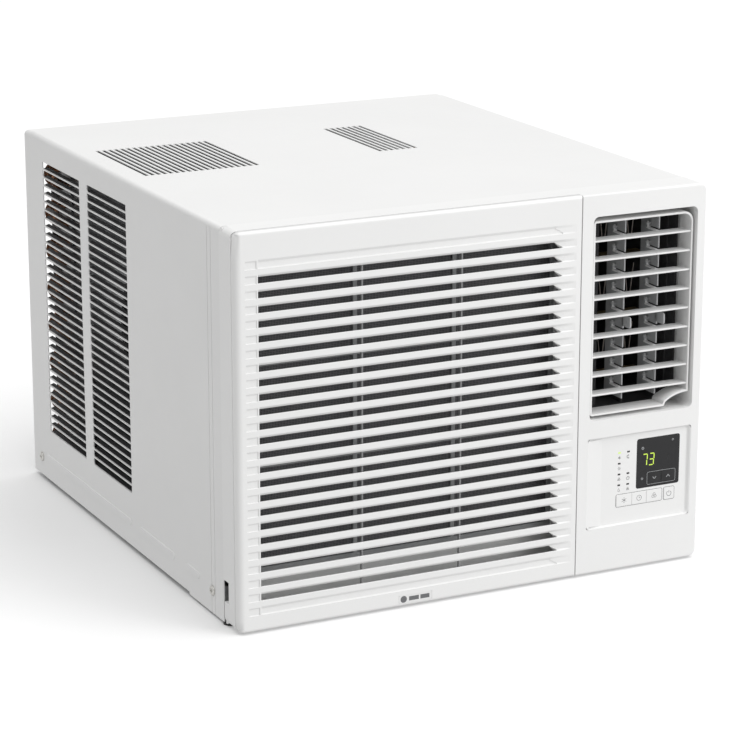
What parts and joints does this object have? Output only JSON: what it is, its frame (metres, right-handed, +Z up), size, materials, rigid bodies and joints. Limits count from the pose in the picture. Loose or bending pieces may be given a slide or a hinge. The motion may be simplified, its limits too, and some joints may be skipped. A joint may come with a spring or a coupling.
{
  "type": "window air conditioner",
  "caption": "Window air conditioner with a hinged inlet grille, a tilting louvre outlet, keys, a steel cover and the cooling circuit, fans and heater inside.",
  "frame": {"origin": "middle of the machine's outline, on the surface that it stands on", "axes": "+X to the right when facing the front, +Y from the front to the back, +Z up"},
  "size_m": [0.6174, 0.685, 0.472],
  "materials": {
    "white_plastic": "moulded, satin",
    "white_steel": "powder coat",
    "grey_plastic": "moulded, matt",
    "vane_grey": "moulded, matt",
    "filter_net": "woven net",
    "black_plastic": "matt",
    "window_black": "gloss",
    "figures": "lit",
    "lens_green": "lit",
    "lens_dark": "gloss",
    "badge_grey": "satin",
    "screw_steel": "zinc plated",
    "galvanised": "galvanised",
    "fin_aluminium": "mill",
    "copper": "bare copper",
    "rubber_black": "matt",
    "foam_white": "expanded foam",
    "black_steel": "black paint",
    "board_green": "solder mask",
    "mica": "mica",
    "wire": "resistance wire",
    "motor_steel": "grey paint",
    "grey_fan": "glass filled"
  },
  "bodies": {
    "chassis": {"front_frame": "white_plastic", "control_panel": "white_plastic", "display_window": "window_black", "display_digits": "figures", "led_cooling": "lens_green", "led_lenses": "lens_dark", "display_board": "board_green", "cabinet": "white_steel", "cabinet_screws": "screw_steel", "cord_bush": "black_plastic", "base_pan": "galvanised", "front_feet": "rubber_black", "drain_tray": "foam_white", "evaporator_fins": "fin_aluminium", "evaporator_end_plates": "galvanised", "evaporator_tubes": "copper", "condenser_fins": "fin_aluminium", "condenser_end_plates": "galvanised", "condenser_tubes": "copper", "fan_motor": "motor_steel", "motor_bracket": "galvanised", "motor_strap": "galvanised", "blower_scroll": "foam_white", "discharge_duct": "grey_plastic", "heater_cards": "mica", "heater_coil": "wire", "partition": "galvanised", "fan_shroud": "galvanised", "top_brace": "galvanised", "compressor": "black_steel", "compressor_grommets": "rubber_black", "compressor_bolts": "screw_steel", "accumulator": "black_steel", "terminal_cover": "black_plastic", "discharge_pipe": "copper", "suction_pipe": "copper", "filter_drier": "copper", "liquid_pipe": "copper", "capillary_tube": "copper", "control_box": "galvanised", "box_lid": "galvanised", "main_board": "board_green", "run_capacitor": "screw_steel"},
    "inlet_grille": {"inlet_grille": "white_plastic", "grille_badge": "badge_grey"},
    "air_filter": {"filter_frame": "grey_plastic", "filter_mesh": "filter_net"},
    "louver_cassette": {"louver_cassette": "white_plastic"},
    "vane_left": {"vane_left": "vane_grey"},
    "vane_right": {"vane_right": "vane_grey"},
    "rotor": {"motor_shaft": "screw_steel", "blower_wheel": "grey_fan", "condenser_fan": "grey_fan", "shaft_nuts": "screw_steel"},
    "key_mode": {"key_mode": "white_plastic"},
    "key_timer": {"key_timer": "white_plastic"},
    "key_fan_speed": {"key_fan_speed": "white_plastic"},
    "key_power": {"key_power": "white_plastic"},
    "key_temp_down": {"key_temp_down": "black_plastic"},
    "key_temp_up": {"key_temp_up": "black_plastic"}
  },
  "joints": [
    {"name": "grille_hinge", "type": "hinge", "parent": "chassis", "child": "inlet_grille", "pos_m": [0, -0.3375, 0.467], "axis": [-1, 0, 0], "range_deg": [0, 70]},
    {"name": "filter_lift", "type": "slide", "parent": "chassis", "child": "air_filter", "axis": [0, 0, 1], "range_m": [0, 0.008]},
    {"name": "cassette_tilt", "type": "hinge", "parent": "chassis", "child": "louver_cassette", "pos_m": [0.2235, -0.325, 0.319], "axis": [1, 0, 0], "range_deg": [-8, 10]},
    {"name": "vane_left_turn", "type": "hinge", "parent": "louver_cassette", "child": "vane_left", "pos_m": [0.208, -0.2965, 0.319], "axis": [0, 0, 1], "range_deg": [-30, 30]},
    {"name": "vane_right_turn", "type": "hinge", "parent": "louver_cassette", "child": "vane_right", "pos_m": [0.255, -0.2965, 0.319], "axis": [0, 0, 1], "range_deg": [-30, 30]},
    {"name": "rotor_spin", "type": "hinge", "parent": "chassis", "child": "rotor", "pos_m": [-0.055, -0.0425, 0.246], "axis": [0, 1, 0], "continuous": true},
    {"name": "key_mode_press", "type": "slide", "parent": "chassis", "child": "key_mode", "axis": [0, 1, 0], "range_m": [0, 0.0005], "stiffness_N_per_m": 1200, "springref_m": -0.0006},
    {"name": "key_timer_press", "type": "slide", "parent": "chassis", "child": "key_timer", "axis": [0, 1, 0], "range_m": [0, 0.0005], "stiffness_N_per_m": 1200, "springref_m": -0.0006},
    {"name": "key_fan_speed_press", "type": "slide", "parent": "chassis", "child": "key_fan_speed", "axis": [0, 1, 0], "range_m": [0, 0.0005], "stiffness_N_per_m": 1200, "springref_m": -0.0006},
    {"name": "key_power_press", "type": "slide", "parent": "chassis", "child": "key_power", "axis": [0, 1, 0], "range_m": [0, 0.0005], "stiffness_N_per_m": 1200, "springref_m": -0.0006},
    {"name": "key_temp_down_press", "type": "slide", "parent": "chassis", "child": "key_temp_down", "axis": [0, 1, 0], "range_m": [0, 0.0005], "stiffness_N_per_m": 1200, "springref_m": -0.0006},
    {"name": "key_temp_up_press", "type": "slide", "parent": "chassis", "child": "key_temp_up", "axis": [0, 1, 0], "range_m": [0, 0.0005], "stiffness_N_per_m": 1200, "springref_m": -0.0006}
  ]
}
